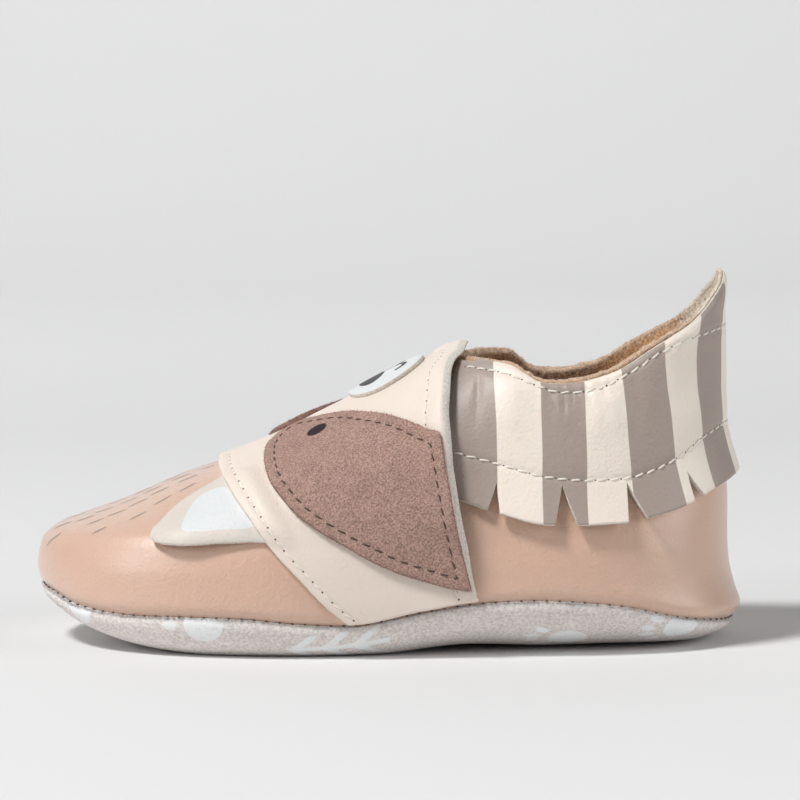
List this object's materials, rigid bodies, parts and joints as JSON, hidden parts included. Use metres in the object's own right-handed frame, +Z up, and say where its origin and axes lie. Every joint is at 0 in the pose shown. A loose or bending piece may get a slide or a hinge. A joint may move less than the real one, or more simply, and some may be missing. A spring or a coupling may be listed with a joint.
{
  "type": "baby slipper",
  "caption": "Soft-soled leather baby slipper with an animal-face instep panel, folded ears, striped fringed heel cuff and flexible suede sole.",
  "frame": {"origin": "on the floor, in the middle of the slipper's bounding box", "axes": "+X from the toe to the heel along the slipper's length, +Y towards the inner side of a left foot, +Z up"},
  "size_m": [0.1252, 0.0604, 0.0648],
  "materials": {
    "toe_leather": "smooth peach leather, soft sheen",
    "sole_suede": "grey suede with a pale print",
    "lining_suede": "brushed tan suede lining",
    "cream_leather": "smooth cream leather, soft sheen",
    "taupe_suede": "napped taupe suede",
    "white_leather": "smooth white leather with a black print",
    "striped_leather": "smooth cream leather printed with grey stripes"
  },
  "bodies": {
    "root": {"upper": "toe_leather", "sole": "sole_suede", "insole": "lining_suede", "instep_panel": "cream_leather", "eye_patch_outer": "taupe_suede", "eye_patch_inner": "taupe_suede", "nose_patch": "white_leather", "ear_outer": "cream_leather", "ear_inner": "cream_leather", "heel_cuff": "striped_leather"}
  },
  "joints": []
}
